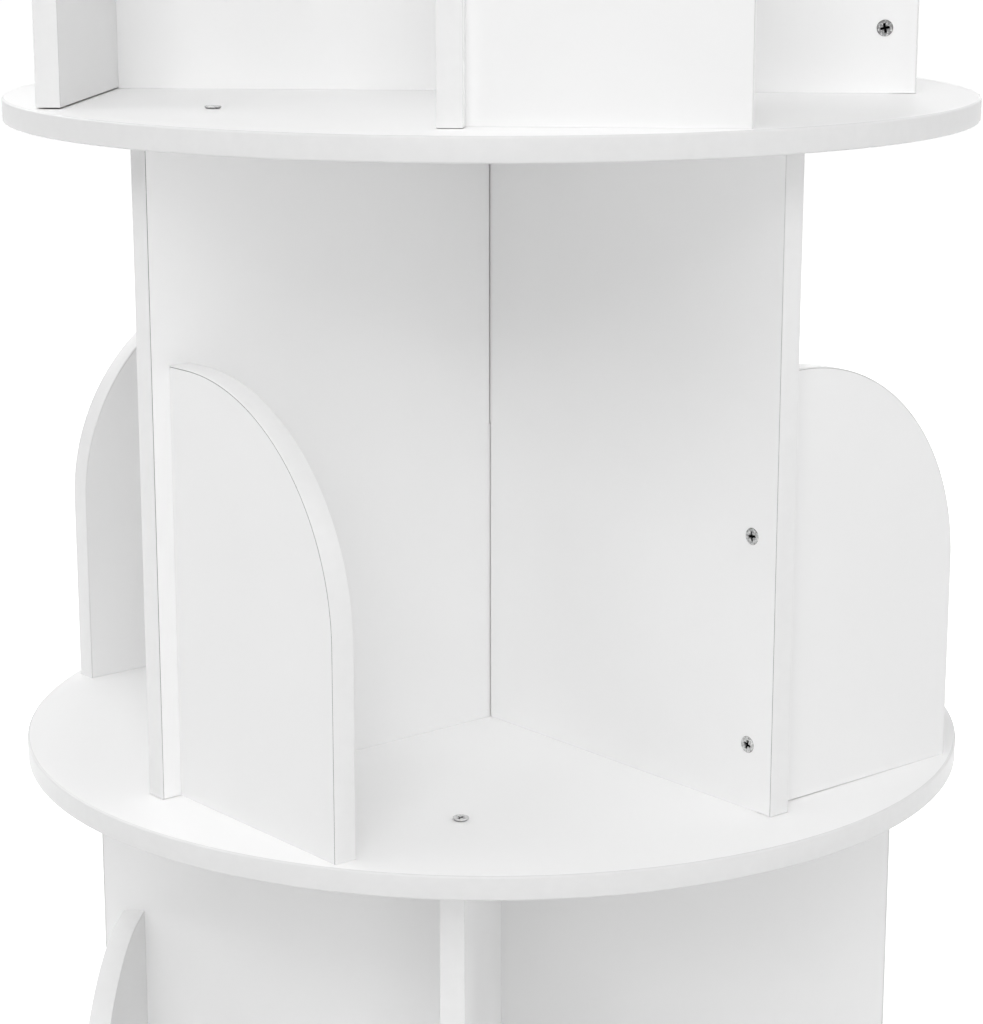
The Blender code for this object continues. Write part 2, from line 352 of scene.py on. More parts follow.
@dataclass(frozen=True)
class ZincPlate:
    """Bright zinc plating on steel, as on furniture screws and pressed turntable rings.

    The eye sees a soft silver grey with duller blotches; deep in a driver recess and on the cone under the
    head it is painted nearly black, as shade.
    """

    name: str = "bright_zinc_plated_steel"
    colour: str = "#DCDCDC"
    dull: str = "#747474"
    # Painted shade: the black that deep recesses and the cones under screw heads are mixed towards
    recess: str = "#0B0B0B"
    roughness: float = 0.50
    roughness_swing: float = 0.12
    blotch_mm: float = 0.9
    blotch_detail: float = 4.0
    blotch_height_mm: float = 0.02
    spread: float = 0.15  # of the noise to both sides of its middle, from all silver to all dull
    lot_mm: float = 230.0  # screws this far apart are plated alike
    lot_seed: float = 659.0  # dulls the screws that are dull in the photograph
    lot_sway: float = 1.3

    def material(self) -> Material:
        """Mix silver and dull grey by a fine and a slow noise, paint shade into recesses and under heads, and
        vary gloss and height.

        Returns:
            The material.
        """
        material, tree, shader, place = start_material(self.name, Metallic=1.0)
        blotch = add_node(tree, "TexNoise", {"Vector": place, "Scale": per_metre(self.blotch_mm),
                                             "Detail": self.blotch_detail}).outputs["Fac"]
        lot = add_node(tree, "TexNoise", {"Vector": place, "W": self.lot_seed,
                                          "Scale": per_metre(self.lot_mm)}, noise_dimensions="4D")
        both = add_node(tree, "Math", {0: lot.outputs["Fac"], 1: self.lot_sway, 2: blotch},
                        operation="MULTIPLY_ADD")
        middle = 0.5 * (1.0 + self.lot_sway)
        share = add_node(tree, "MapRange", {"Value": both.outputs[0], "From Min": middle - self.spread,
                                            "From Max": middle + self.spread})
        plate = add_node(tree, "Mix", {MIX_FACTOR: share.outputs["Result"], MIX_A: linear(self.colour),
                                       MIX_B: linear(self.dull)}, data_type="RGBA")
        # Painted shade: mixed towards the black by the attribute that the screws carry
        depth = add_node(tree, "Attribute", attribute_name=Shell.PAINTED_SHADE)
        tint = add_node(tree, "Mix", {MIX_FACTOR: depth.outputs["Fac"], MIX_A: plate.outputs[MIX_COLOUR],
                                      MIX_B: linear(self.recess)}, data_type="RGBA")
        gloss = add_node(tree, "MapRange", {"Value": blotch, "To Min": self.roughness - self.roughness_swing,
                                            "To Max": self.roughness + self.roughness_swing})
        dents = add_node(tree, "Bump", {"Height": blotch, "Distance": self.blotch_height_mm * MM})
        feed(tree, shader, {"Base Color": tint.outputs[MIX_COLOUR], "Roughness": gloss.outputs["Result"],
                            "Normal": dents.outputs["Normal"]})
        return material


class Finishes:
    """All materials of the bookcase, made once."""

    def __init__(self) -> None:
        """Make the materials and the stacks of layers that faced boards take."""
        # Painted light and shade: faces and bands are one white in the real bookcase; the shelves' faces are
        # painted lighter, and the dividers' faces and the shelves' rim bands darker, for how the light falls
        # on them
        band = EdgeBand("white_abs_edge_band", "#EDEDED", "#E8E8E8").material()
        rim = EdgeBand("white_abs_rim_band_painted_shade", "#E7E7E7", "#E1E1E1").material()
        glue, core = GlueLine().material(), ParticleCore().material()
        self.shelf = [Melamine("white_melamine_shelf_painted_light", "#FCFCFC", "#F9F9F9").material(), rim, glue, core]
        self.board = [Melamine("white_melamine_board", "#F9F9F9", "#F6F6F6").material(), band, glue, core]
        panel = Melamine("white_melamine_divider_painted_shade", "#F2F2F2", "#EFEFEF").material()
        self.divider = [panel, band, glue, core]
        self.zinc = [ZincPlate().material()]
        self.balls = [BearingSteel().material()]
        self.cage, self.rubber = ([polymer.material()] for polymer in (
            Moulded("natural_nylon", "#E2DFD3", "#D6D2C2", 0.5, 0.8, relief_mm=0.8, relief_height_mm=0.01),
            Moulded("black_rubber", "#2A2A2A", "#1F1F1F", 0.8, 0.7, relief_mm=0.7, relief_height_mm=0.03)))


def placed(points: Array, place: Matrix) -> Array:
    """Move points, whose last axis holds x, y and z, into the frame of a place."""
    matrix = np.array(place)
    return points @ matrix[:3, :3].T + matrix[:3, 3]


def arm_frame(turn: float, arm: int) -> Matrix:
    """Frame whose X runs out along an arm of a tier that is turned."""
    return Matrix.Rotation(turn + arm * QUARTER_TURN, 4, "Z")


def wrapped(numbers: Array) -> Array:
    """Repeat the first column of point numbers after the last one, to close a ring."""
    return np.concatenate([numbers, numbers[:, :1]], axis=1)


def smooth_step(share: Array) -> Array:
    """Ease a share from 0 to 1 with a level start and end: 3 t squared less 2 t cubed."""
    share = np.clip(share, 0.0, 1.0)
    return share * share * (3.0 - 2.0 * share)


def filleted(corners: Array, radii: Array, steps: int) -> Array:
    """Round the inner corners of an open outline.

    An arc of the corner's radius, tangent to both sides, takes the place of the corner. Its centre lies on
    the bisector, and its points are the spherical blend of the two spokes to the tangent points.

    Args:
        corners: Corner points of the outline, one per row.
        radii: Radius at each corner, 0 for a corner that stays.
        steps: Points on each arc.

    Returns:
        The points of the rounded outline, one per row.
    """
    stretches = [corners[:1]]
    share = np.linspace(0.0, 1.0, steps)[:, None]
    for before, corner, after, radius in zip(corners[:-2], corners[1:-1], corners[2:], radii[1:-1]):
        if radius == 0.0:
            stretches.append(corner[None])
            continue
        back = (before - corner) / np.linalg.norm(before - corner)
        ahead = (after - corner) / np.linalg.norm(after - corner)
        half = math.acos(float(back @ ahead)) / 2
        centre = corner + (back + ahead) / np.linalg.norm(back + ahead) * radius / math.sin(half)
        first = corner + back * radius / math.tan(half) - centre
        last = corner + ahead * radius / math.tan(half) - centre
        sweep = HALF_TURN - 2 * half
        blend = (np.sin((1 - share) * sweep) * first + np.sin(share * sweep) * last) / math.sin(sweep)
        stretches.append(centre + blend)
    return np.concatenate([*stretches, corners[-1:]])


def shade_corners(mesh: bpy.types.Mesh) -> None:
    """Shade a mesh smooth and keep its real corners sharp."""
    mesh.shade_smooth()
    mesh.set_sharp_from_angle(angle=SHARP_CORNER)


class Shell:
    """One or more closed surfaces, gathered from grids of quads and flat caps."""

    # Name of the point attribute that holds painted shade: black in screw recesses and under screw heads
    PAINTED_SHADE = "recess"

    def __init__(self) -> None:
        """Start with no points and no faces."""
        self.points: list[Array] = []
        self.recess: list[Array] = []
        self.faces: list[list[int]] = []
        self.layers: list[int] = []
        self.count = 0

    def add_points(self, points: Array, recess: Array | float = 0.0) -> Array:
        """Add points to the surface.

        Args:
            points: Array whose last axis holds x, y and z.
            recess: Painted shade of each point, from 0 to 1, for its depth in a recess or its place under a
                screw's head.

        Returns:
            The numbers of the points, in the shape of the array without its last axis.
        """
        shape = points.shape[:-1]
        self.points.append(points.reshape(-1, 3))
        self.recess.append(np.broadcast_to(recess, shape).ravel())
        numbers = self.count + np.arange(math.prod(shape)).reshape(shape)
        self.count += numbers.size
        return numbers

    def span(self, numbers: Array, layers: Array | int = 0) -> None:
        """Span quads between neighbouring rows and columns of point numbers.

        Args:
            numbers: Point numbers in rows and columns.
            layers: Layer of the quads: one for all, or an array that spreads over rows and columns.
        """
        corners = (numbers[:-1, :-1], numbers[:-1, 1:], numbers[1:, 1:], numbers[1:, :-1])
        quads = np.stack(corners, axis=-1)
        self.faces += quads.reshape(-1, 4).tolist()
        self.layers += np.broadcast_to(layers, quads.shape[:2]).ravel().tolist()

    def cap(self, numbers: Array, layer: int = 0) -> None:
        """Close a ring of points with one flat face."""
        self.faces.append(np.ravel(numbers).tolist())
        self.layers.append(int(layer))

    def turn(self, profile: Array, segments: int, place: Matrix = IN_PLACE, layers: Array | int = 0,
             ring: bool = False) -> None:
        """Carry a profile round an axis.

        The profile's point of radius r and height h lies at (r cos a, r sin a, h) for the angle a.

        Args:
            profile: Radius and height of each point, one per row.
            segments: Steps of the full turn.
            place: Frame whose Z is the axis.
            layers: Layer of each stretch of the profile, as a column, or one layer for all.
            ring: Whether the profile closes on itself; otherwise both ends are capped.
        """
        angle = np.linspace(0.0, FULL_TURN, segments, endpoint=False)
        radius, height = profile[:, :1], profile[:, 1:]
        grid = np.broadcast_arrays(radius * np.cos(angle), radius * np.sin(angle), height)
        numbers = wrapped(self.add_points(placed(np.stack(grid, axis=-1), place)))
        self.span(np.concatenate([numbers, numbers[:1]]) if ring else numbers, layers)
        ends = np.broadcast_to(layers, (len(profile) - 1, 1))
        for end in () if ring else (0, -1):
            self.cap(numbers[end, :-1], ends[end, 0])

    def rise(self, section: Array, heights: tuple[float, float], place: Matrix, layers: Array | int) -> None:
        """Carry a closed section straight up and cap it at both ends.

        Args:
            section: Points of the section in plan, one per row.
            heights: Lower and upper end.
            place: Frame of the section.
            layers: Layer of each stretch of the section, or one layer for all.
        """
        grid = np.stack([np.column_stack([section, np.full(len(section), height)]) for height in heights])
        numbers = self.add_points(placed(grid, place))
        self.span(wrapped(numbers), layers)
        for row in numbers:
            self.cap(row, np.ravel(layers)[0])

    def piece(self, name: str, finishes: list[Material]) -> Object:
        """Make the surfaces into an object at the origin, with their faces turned outwards.

        Args:
            name: Name of the object.
            finishes: Materials, in the order of the layers.

        Returns:
            The object.
        """
        mesh = bpy.data.meshes.new(name)
        mesh.from_pydata(np.concatenate(self.points).tolist(), [], self.faces)
        mesh.polygons.foreach_set("material_index", self.layers)
        # Painted shade of the points, kept as an attribute for the zinc to darken by
        recess = np.concatenate(self.recess).astype(np.float32)
        if recess.any():
            mesh.attributes.new(self.PAINTED_SHADE, "FLOAT", "POINT").data.foreach_set("value", recess)
        for finish in finishes:
            mesh.materials.append(finish)
        shape = bmesh.new()
        shape.from_mesh(mesh)
        bmesh.ops.recalc_face_normals(shape, faces=shape.faces)
        shape.to_mesh(mesh)
        shape.free()
        shade_corners(mesh)
        piece = bpy.data.objects.new(name, mesh)
        bpy.context.scene.collection.objects.link(piece)
        return piece


def cut(piece: Object, cutter: Object) -> None:
    """Cut a piece by another, keep what is left as its mesh and remove the cutter.

    Args:
        piece: Piece to cut.
        cutter: Closed bodies to take away from it.
    """
    modifier = piece.modifiers.new("cut", "BOOLEAN")
    modifier.operation = "DIFFERENCE"
    modifier.solver = "EXACT"
    modifier.object = cutter
    whole = piece.data
    left = piece.evaluated_get(bpy.context.evaluated_depsgraph_get())
    piece.data = bpy.data.meshes.new_from_object(left)
    piece.modifiers.clear()
    bpy.data.meshes.remove(whole)
    piece.data.name = piece.name
    bpy.data.meshes.remove(cutter.data)
    shade_corners(piece.data)


def settle(piece: Object, body: Body, slot: Slot, *nodes: str) -> None:
    """Let a piece ride on its body and stand for its solids, and report it.

    Args:
        piece: Finished piece.
        body: Body that it moves with.
        slot: Slot of the record that its finish belongs to; not used.
        nodes: Solids that it stands for.
    """
    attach(piece, body.value)
    if nodes:
        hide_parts(*nodes)
    LOG.info("%s: %d faces on %s", piece.name, len(piece.data.polygons), body.value)


@dataclass(frozen=True)
class Screw:
    """Countersunk screw with a cross recess; its +Z points out of the face that it is driven into."""

    proud: float = 0.4 * MM  # top of the head above the face
    head_radius: float = 3.7 * MM
    head_depth: float = 2.2 * MM
    easing: float = 0.12 * MM  # of the head's upper corner
    rim: float = 0.45 * MM
    shank_radius: float = 1.9 * MM
    reach: float = 4.6 * MM  # end of the modelled shank below the face
    hole_gap: float = 0.08 * MM  # countersink's cone to the head's
    bore_radius: float = 2.25 * MM
    bore_depth: float = 5.0 * MM
    cut_margin: float = 1.0 * MM
    wing_length: float = 2.3 * MM
    wing_width: float = 1.05 * MM
    wing_wall: float = 0.25 * MM
    wing_depth: float = 1.5 * MM
    full_shade_share: float = 0.4  # share of the recess's depth from which its painted shade is black
    rim_shade: float = 0.25  # painted shade at the rim's lower edge; the cone under it is painted black towards the shank, as its shade
    first_row: float = 0.08 * MM
    rows: int = 22
    segments: int = 64

    def outline(self) -> Array:
        """Work out the outline from the middle of the head to its rim, down the cone and the shank.

        Returns:
            Radius and height, one point per row.
        """
        top = np.linspace(self.first_row, self.head_radius - self.easing, self.rows)
        crown = np.column_stack([top, np.full(self.rows, self.proud)])
        below = [[self.head_radius, self.proud - self.easing], [self.head_radius, self.proud - self.rim],
                 [self.shank_radius, self.proud - self.head_depth], [self.shank_radius, -self.reach]]
        return np.concatenate([crown, below])

    def recess(self, x: Array, y: Array) -> Array:
        """Work out the share of the recess's full depth at points of the head.

        Each of two crossed wings is the product of a step across it and a step along it, and the floor
        rises evenly from the middle to half of the depth at the wings' ends.

        Args:
            x: Place along the first wing.
            y: Place along the second wing.

        Returns:
            Shares from 0 to 1.
        """
        along = [smooth_step((self.wing_length - np.abs(part)) / self.wing_wall) for part in (x, y)]
        half = self.wing_width / 2
        across = [smooth_step((half - np.abs(part)) / self.wing_wall + 0.5) for part in (y, x)]
        wings = np.maximum(along[0] * across[0], along[1] * across[1])
        return wings * (1.0 - 0.5 * np.hypot(x, y) / self.wing_length).clip(0.0)

    def group(self, name: str, places: list[Matrix], finishes: Finishes) -> Object:
        """Make a group of screws: outlines turned round, with a cross pressed into each at its own angle.

        Args:
            name: Name of the group.
            places: Frame of each screw.
            finishes: Materials of the bookcase.

        Returns:
            The group.
        """
        outline = self.outline()
        angle = np.linspace(0.0, FULL_TURN, self.segments, endpoint=False)
        radius = outline[:, :1]
        share = self.recess(radius * np.cos(angle), radius * np.sin(angle))
        share[self.rows:] = 0.0
        height = outline[:, 1:] - self.wing_depth * share
        # Painted shade: black in the deep part of the cross, grey at the rim's lower edge and black down the
        # cone
        shade = smooth_step(share / self.full_shade_share)
        shade[self.rows + 1], shade[self.rows + 2:] = self.rim_shade, 1.0
        shell = Shell()
        for index, place in enumerate(places):
            turned = angle + FIRST_CROSS + index * NEXT_CROSS
            grid = np.stack([radius * np.cos(turned), radius * np.sin(turned), height], axis=-1)
            numbers = shell.add_points(placed(grid, place), shade)
            shell.span(wrapped(numbers))
            shell.cap(numbers[0])
            shell.cap(numbers[-1])
        return shell.piece(name, finishes.zinc)

    def sink_holes(self, board: Object, places: list[Matrix], layers: list[Material]) -> None:
        """Cut a bore that widens to a cone round the head's into a board for each screw.

        Args:
            board: The board.
            places: Frame of each screw.
            layers: Materials of the board.
        """
        slope = (self.head_radius - self.shank_radius) / (self.head_depth - self.rim)
        mouth = self.head_radius + self.hole_gap + slope * (self.cut_margin - self.proud + self.rim)
        throat = self.cut_margin - (mouth - self.bore_radius) / slope
        profile = np.array([[self.bore_radius, -self.bore_depth], [self.bore_radius, throat],
                            [mouth, self.cut_margin]])
        shell = Shell()
        for place in places:
            shell.turn(profile, self.segments, place, Layer.CORE)
        cut(board, shell.piece("countersinks", layers))


@dataclass(frozen=True)
class PanScrew(Screw):
    """Low pan-head screw with a cross recess, its head standing on the face."""

    head_height: float = 1.2 * MM
    wing_depth: float = 0.9 * MM

    def outline(self) -> Array:
        """Work out the outline over a crown, flattened from an ellipse, and down the shank.

        The crown's height falls with the root of one less the fourth power of the share of the radius.

        Returns:
            Radius and height, one point per row.
        """
        top = np.linspace(self.first_row, self.head_radius - self.easing, self.rows)
        crown = self.head_height * np.sqrt(1.0 - (top / self.head_radius) ** 4)
        below = [[self.head_radius, self.easing], [self.head_radius, 0.0],
                 [self.shank_radius, 0.0], [self.shank_radius, -self.reach]]
        return np.concatenate([np.column_stack([top, crown]), below])


@dataclass(frozen=True)
class BandedEdge:
    """Section across the banded edge of a board."""

    thickness: float
    band: float = 0.6 * MM
    glue: float = 0.26 * MM
    glue_depth: float = 0.18 * MM
    rounding: float = 0.4 * MM
    margin: float = 2.0 * MM
    steps: int = 5

    def section(self) -> Array:
        """Work out the section from one face round the edge to the other.

        A flat margin, a V-shaped glue line, the band's face and a quarter round make one half, and the other
        half is its mirror image.

        Returns:
            Inset from the edge and place across the board, one point per row.
        """
        half = self.thickness / 2
        lip = self.glue / 2
        flat = np.array([[self.band + lip + self.margin, half], [self.band + lip, half],
                         [self.band, half - self.glue_depth], [self.band - lip, half]])
        angle = np.linspace(0.0, QUARTER_TURN, self.steps)
        quarter = np.column_stack([self.rounding * (1.0 - np.sin(angle)),
                                   half - self.rounding * (1.0 - np.cos(angle))])
        side = np.concatenate([flat, quarter])
        return np.concatenate([side, side[::-1] * (1.0, -1.0)])

    def layers(self) -> list[int]:
        """Layer of each stretch of the section."""
        side = [Layer.FACE, Layer.GLUE, Layer.GLUE]
        return side + [Layer.BAND] * (2 * self.steps + 1) + side[::-1]


@dataclass(frozen=True)
class RoundBoard:
    """Round board with a rounded rim."""

    segments: int
    rim_rounding: float = 1.1 * MM
    margin: float = 3.0 * MM
    rounding_steps: int = 7

    def shell(self, low: Vector, high: Vector) -> Shell:
        """Turn the rim's profile round the axis, between two flat caps.

        Args:
            low: Lowest corner of the solid.
            high: Highest corner of the solid.

        Returns:
            The closed disc.
        """
        inner = high.x - self.margin
        corners = np.array([[inner, high.z], [high.x, high.z], [high.x, low.z], [inner, low.z]])
        radii = np.array([0.0, self.rim_rounding, self.rim_rounding, 0.0])
        profile = filleted(corners, radii, self.rounding_steps)
        layers = np.full((len(profile) - 1, 1), Layer.BAND)
        layers[[0, -1]] = Layer.FACE
        shell = Shell()
        shell.turn(profile, self.segments, layers=layers)
        return shell


@dataclass(frozen=True)
class Shelf:
    """Round shelf, screwed down into the tier below and up into the tier above."""

    finishes: Finishes
    number: int
    turn_below: float | None
    turn_above: float | None
    proud: float  # of the screws' heads
    screw_circle: float = 0.160
    disc: RoundBoard = RoundBoard(360)

    def build(self) -> None:
        """Build the disc, sink its screw holes and drive the screws."""
        node = f"shelf_{self.number}"
        low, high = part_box(node)
        board = self.disc.shell(low, high).piece(f"{node}_board", self.finishes.shelf)
        faces = ((self.turn_below, high.z, IN_PLACE), (self.turn_above, low.z, TURNED_OVER))
        places = [arm_frame(turn, arm) @ Matrix.Translation((self.screw_circle, 0.0, face)) @ outward
                  for turn, face, outward in faces if turn is not None for arm in range(ARM_COUNT)]
        screw = Screw(self.proud)
        screw.sink_holes(board, places, self.finishes.shelf)
        settle(board, Body.TOWER, Slot.SHELF, node)
        settle(screw.group(f"{node}_screws", places, self.finishes), Body.TOWER, Slot.STEEL)


@dataclass(frozen=True)
class Tier:
    """One tier of books: two core boards lapped into a cross, and an arched divider on each arm."""

    finishes: Finishes
    number: int
    top_number: int
    turn: float
    snug: float = 0.25 * MM  # how far boards close the gap that the solids keep to their seats
    lap_gaps: tuple[float, float] = (0.65 * MM, 0.05 * MM)  # slot's walls to the board that leans in it
    toe_length: float = 12.0 * MM  # stretch at an arm's end that stands off the shelf by a hair
    toe_heights: tuple[float, ...] = (0.15 * MM, 0.12 * MM, 0.2 * MM, 0.25 * MM)
    # Added to the gap under a divider's foot, at the arm and at its outer end
    divider_lifts: tuple[tuple[float, float], ...] = (
        (-0.25 * MM, -0.25 * MM), (0.1 * MM, -0.25 * MM), (0.4 * MM, 0.4 * MM), (-0.25 * MM, -0.25 * MM))
    cut_margin: float = 2.0 * MM
    divider_arc: float = 0.104
    arc_steps: int = 48
    screw_rises: tuple[float, float] = (0.030, 0.126)
    screw: Screw = Screw()

    @property
    def reach(self) -> Vector:
        """Corner of the top tier's board along X: half of a core board's length and of its thickness."""
        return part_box(f"tier_{self.top_number}_core_a")[1]

    @property
    def divider_box(self) -> tuple[Vector, Vector]:
        """Corners of the top tier's divider on the arm along X."""
        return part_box(f"tier_{self.top_number}_divider_1")

    def fit_of(self, arm: int) -> int:
        """Which of the four fits an arm and its divider came out with."""
        return (2 * self.number + arm) % ARM_COUNT

    def screw_places(self, arm: int) -> list[Matrix]:
        """Work out the frames of the divider screws on the clockwise face of an arm.

        Args:
            arm: The arm.

        Returns:
            The frames from below upwards, their Z pointing out of the face.
        """
        low, high = self.divider_box
        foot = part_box(f"tier_{self.number}_core_a")[0].z
        outward = Matrix.Rotation(QUARTER_TURN, 4, "X")
        spots = [((low.x + high.x) / 2, -self.reach.y, foot + rise) for rise in self.screw_rises]
        return [arm_frame(self.turn, arm) @ Matrix.Translation(spot) @ outward for spot in spots]

    def build_core(self, lap: Lap, arm: int) -> None:
        """Build a core board: a section with two banded ends carried up, then slotted, eased and drilled.

        Args:
            lap: Which board of the cross it is.
            arm: Arm along which the board lies.
        """
        node = f"tier_{self.number}_core_{lap.value}"
        reach, layers = self.reach, self.finishes.board
        low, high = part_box(node)
        foot, head = low.z - self.snug, high.z + self.snug
        edge = BandedEdge(2 * reach.y)
        end = edge.section() * (-1.0, 1.0) + (reach.x, 0.0)
        shell = Shell()
        shell.rise(np.concatenate([end, -end]), (foot, head), arm_frame(self.turn, arm),
                   np.array((edge.layers() + [Layer.FACE]) * 2))
        board = shell.piece(f"{node}_board", layers)

        middle, margin, past = (foot + head) / 2, self.cut_margin, reach.y + self.cut_margin
        wide, tight = (reach.y + gap for gap in self.lap_gaps)
        span = (middle, head + margin) if lap is Lap.FROM_ABOVE else (foot - margin, middle)
        cuts = [(-tight, wide, span, arm + 2 * (self.number % 2))]
        cuts += [(reach.x - self.toe_length, reach.x + margin,
                  (foot - margin, foot + self.toe_heights[self.fit_of(toe)]), toe) for toe in (arm, arm + 2)]
        waste = Shell()
        for near, far, heights, cut_arm in cuts:
            rectangle = np.array([[near, -past], [far, -past], [far, past], [near, past]])
            waste.rise(rectangle, heights, arm_frame(self.turn, cut_arm), Layer.CORE)
        cut(board, waste.piece("waste", layers))
        self.screw.sink_holes(board, self.screw_places(arm) + self.screw_places(arm + 2), layers)
        settle(board, Body.TOWER, Slot.BOARD, node)

    def divider_path(self, length: float, height: float, droop: float) -> tuple[Array, Array]:
        """Work out the banded edge of a divider, from its outer foot up, over the arch and in to the arm.

        Args:
            length: Length of the divider from the arm outwards.
            height: Its height.
            droop: How much lower its foot lies at the outer end than at the arm.

        Returns:
            Points (outwards, up) and outward normals, one per row.
        """
        angle = np.linspace(0.0, QUARTER_TURN, self.arc_steps)
        spokes = np.column_stack([np.cos(angle), np.sin(angle)])
        arch = (length - self.divider_arc, height - self.divider_arc) + self.divider_arc * spokes
        points = np.concatenate([[(length, -droop)], arch, [(0.0, height)]])
        normals = np.concatenate([spokes[:1], spokes, spokes[-1:]])
        return points, normals

    def build_divider(self, arm: int) -> None:
        """Build a divider: the section of a banded edge carried along the arch, between two flat faces.

        A point of the section with inset i and place v across the board lies at the path's point less i
        times its normal, and v away from the board's middle.

        Args:
            arm: Arm that carries the divider.
        """
        node = f"tier_{self.number}_divider_{arm + 1}"
        low, high = self.divider_box
        lift, outer_lift = self.divider_lifts[self.fit_of(arm)]
        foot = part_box(node)[0].z + lift
        inner = low.y - self.snug
        points, normals = self.divider_path(high.y - inner, high.z - low.z - lift, lift - outer_lift)
        edge = BandedEdge(high.x - low.x)
        section = edge.section()
        flat = points - section[:, None, :1] * normals
        across = np.broadcast_to(section[:, None, 1:], (*flat.shape[:2], 1))
        grid = np.concatenate([across, flat], axis=-1)
        half = edge.thickness / 2
        corners = np.array([[half, 0.0, 0.0], [-half, 0.0, 0.0]])
        seat = arm_frame(self.turn, arm) @ Matrix.Translation(((low.x + high.x) / 2, inner, foot))
        shell = Shell()
        numbers = shell.add_points(placed(grid, seat))
        first, last = shell.add_points(placed(corners, seat))
        shell.span(numbers, np.array(edge.layers())[:, None])
        shell.cap(np.append(numbers[0], first))
        shell.cap(np.append(numbers[-1], last))
        shell.cap(np.concatenate([numbers[:, 0], [last, first]]), Layer.CORE)
        shell.cap(np.concatenate([numbers[:, -1], [last, first]]), Layer.CORE)
        settle(shell.piece(f"{node}_panel", self.finishes.divider), Body.TOWER, Slot.DIVIDER, node)

    def build(self) -> None:
        """Build the cross, its dividers and the screws between them."""
        self.build_core(Lap.FROM_ABOVE, 0)
        self.build_core(Lap.FROM_BELOW, 1)
        for arm in range(ARM_COUNT):
            self.build_divider(arm)
        places = [place for arm in range(ARM_COUNT) for place in self.screw_places(arm)]
        group = self.screw.group(f"tier_{self.number}_divider_screws", places, self.finishes)
        settle(group, Body.TOWER, Slot.STEEL)


@dataclass(frozen=True)
class Turntable:
    """Ball turntable: two facing pressed rings with a track each, a ball cage and pan-head screws."""

    finishes: Finishes
    track_circle: float = 0.085
    track_radius: float = 3.3 * MM
    ring_width: float = 46.0 * MM
    edge_rounding: float = 0.6 * MM
    rounding_steps: int = 4
    track_steps: int = 9
    segments: int = 192
    ball_count: int = 16
    ball_radius: float = 3.0 * MM
    ball_rows: int = 16
    ball_pole: float = 0.02  # angle from a ball's poles to its first and last row
    cage_width: float = 16.0 * MM
    cage_thickness: float = 1.2 * MM
    cage_rounding: float = 0.3 * MM
    pocket_gap: float = 0.15 * MM
    screw_count: int = 6
    screw_inset: float = 9.0 * MM
    screw: PanScrew = PanScrew()

    def ring_profile(self, back: float, face: float, middle: float) -> Array:
        """Work out a ring's closed profile: a flat plate with rounded edges and a round track in its face.

        Args:
            back: Height of the ring's back.
            face: Height of the face with the track.
            middle: Height of the balls' middle.

        Returns:
            Radius and height of each point, one per row.
        """
        inner = self.track_circle - self.ring_width / 2
        outer = self.track_circle + self.ring_width / 2
        seam = (inner + outer) / 2
        half = math.acos(abs(face - middle) / self.track_radius)
        angle = np.linspace(-half, half, self.track_steps)
        track = np.column_stack([self.track_circle + self.track_radius * np.sin(angle),
                                 middle + math.copysign(self.track_radius, face - middle) * np.cos(angle)])
        corners = np.concatenate([[[seam, back], [inner, back], [inner, face]], track,
                                  [[outer, face], [outer, back], [seam, back]]])
        radii = np.zeros(len(corners))
        radii[[1, -2]] = self.edge_rounding
        return filleted(corners, radii, self.rounding_steps)[:-1]

    def round_places(self, count: int, radius: float, height: float) -> list[Matrix]:
        """Frames spread evenly on a circle about the axis."""
        spot = Matrix.Translation((radius, 0.0, height))
        return [Matrix.Rotation(FULL_TURN * index / count, 4, "Z") @ spot for index in range(count)]

    def build_ring(self, ring: Ring, body: Body, middle: float) -> None:
        """Build one ring and the screws that hold it.

        Args:
            ring: Which ring it is; the track of the lower one looks up.
            body: Body that the ring is screwed to.
            middle: Height of the balls' middle.
        """
        node = f"turntable_{ring.value}_ring"
        low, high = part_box(node)
        upright, over = (low.z, high.z, IN_PLACE), (high.z, low.z, TURNED_OVER)
        back, face, outward = upright if ring is Ring.LOWER else over
        shell = Shell()
        shell.turn(self.ring_profile(back, face, middle), self.segments, ring=True)
        settle(shell.piece(f"{node}_plate", self.finishes.zinc), body, Slot.STEEL, node)
        circle = self.track_circle + self.ring_width / 2 - self.screw_inset
        places = [place @ outward for place in self.round_places(self.screw_count, circle, face)]
        settle(self.screw.group(f"{node}_screws", places, self.finishes), body, Slot.STEEL)

    def build_cage(self, middle: float) -> None:
        """Build the cage's band with a pocket for each ball, and the balls.

        Args:
            middle: Height of the balls' middle.
        """
        inner, outer = self.track_circle - self.cage_width / 2, self.track_circle + self.cage_width / 2
        low, high = middle - self.cage_thickness / 2, middle + self.cage_thickness / 2
        corners = np.array([[self.track_circle, low], [inner, low], [inner, high], [outer, high],
                            [outer, low], [self.track_circle, low]])
        radii = np.array([0.0, *[self.cage_rounding] * 4, 0.0])
        band = Shell()
        band.turn(filleted(corners, radii, self.rounding_steps)[:-1], self.segments, ring=True)
        cage = band.piece("ball_cage_band", self.finishes.cage)
        polar = np.linspace(self.ball_pole, HALF_TURN - self.ball_pole, self.ball_rows)
        ball = self.ball_radius * np.column_stack([np.sin(polar), np.cos(polar)])
        hole = self.ball_radius + self.pocket_gap
        pocket = np.array([[hole, -self.cage_thickness], [hole, self.cage_thickness]])
        pockets, balls = Shell(), Shell()
        for place in self.round_places(self.ball_count, self.track_circle, middle):
            pockets.turn(pocket, 2 * self.ball_rows, place)
            balls.turn(ball, 2 * self.ball_rows, place)
        cut(cage, pockets.piece("pockets", self.finishes.cage))
        settle(cage, Body.CAGE, Slot.CAGE, "ball_cage")
        settle(balls.piece("ball_cage_balls", self.finishes.balls), Body.CAGE, Slot.STEEL)

    def build(self) -> None:
        """Build both rings, and the cage between them."""
        low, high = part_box("ball_cage")
        middle = (low.z + high.z) / 2
        self.build_ring(Ring.LOWER, Body.BASE, middle)
        self.build_ring(Ring.UPPER, Body.TOWER, middle)
        self.build_cage(middle)


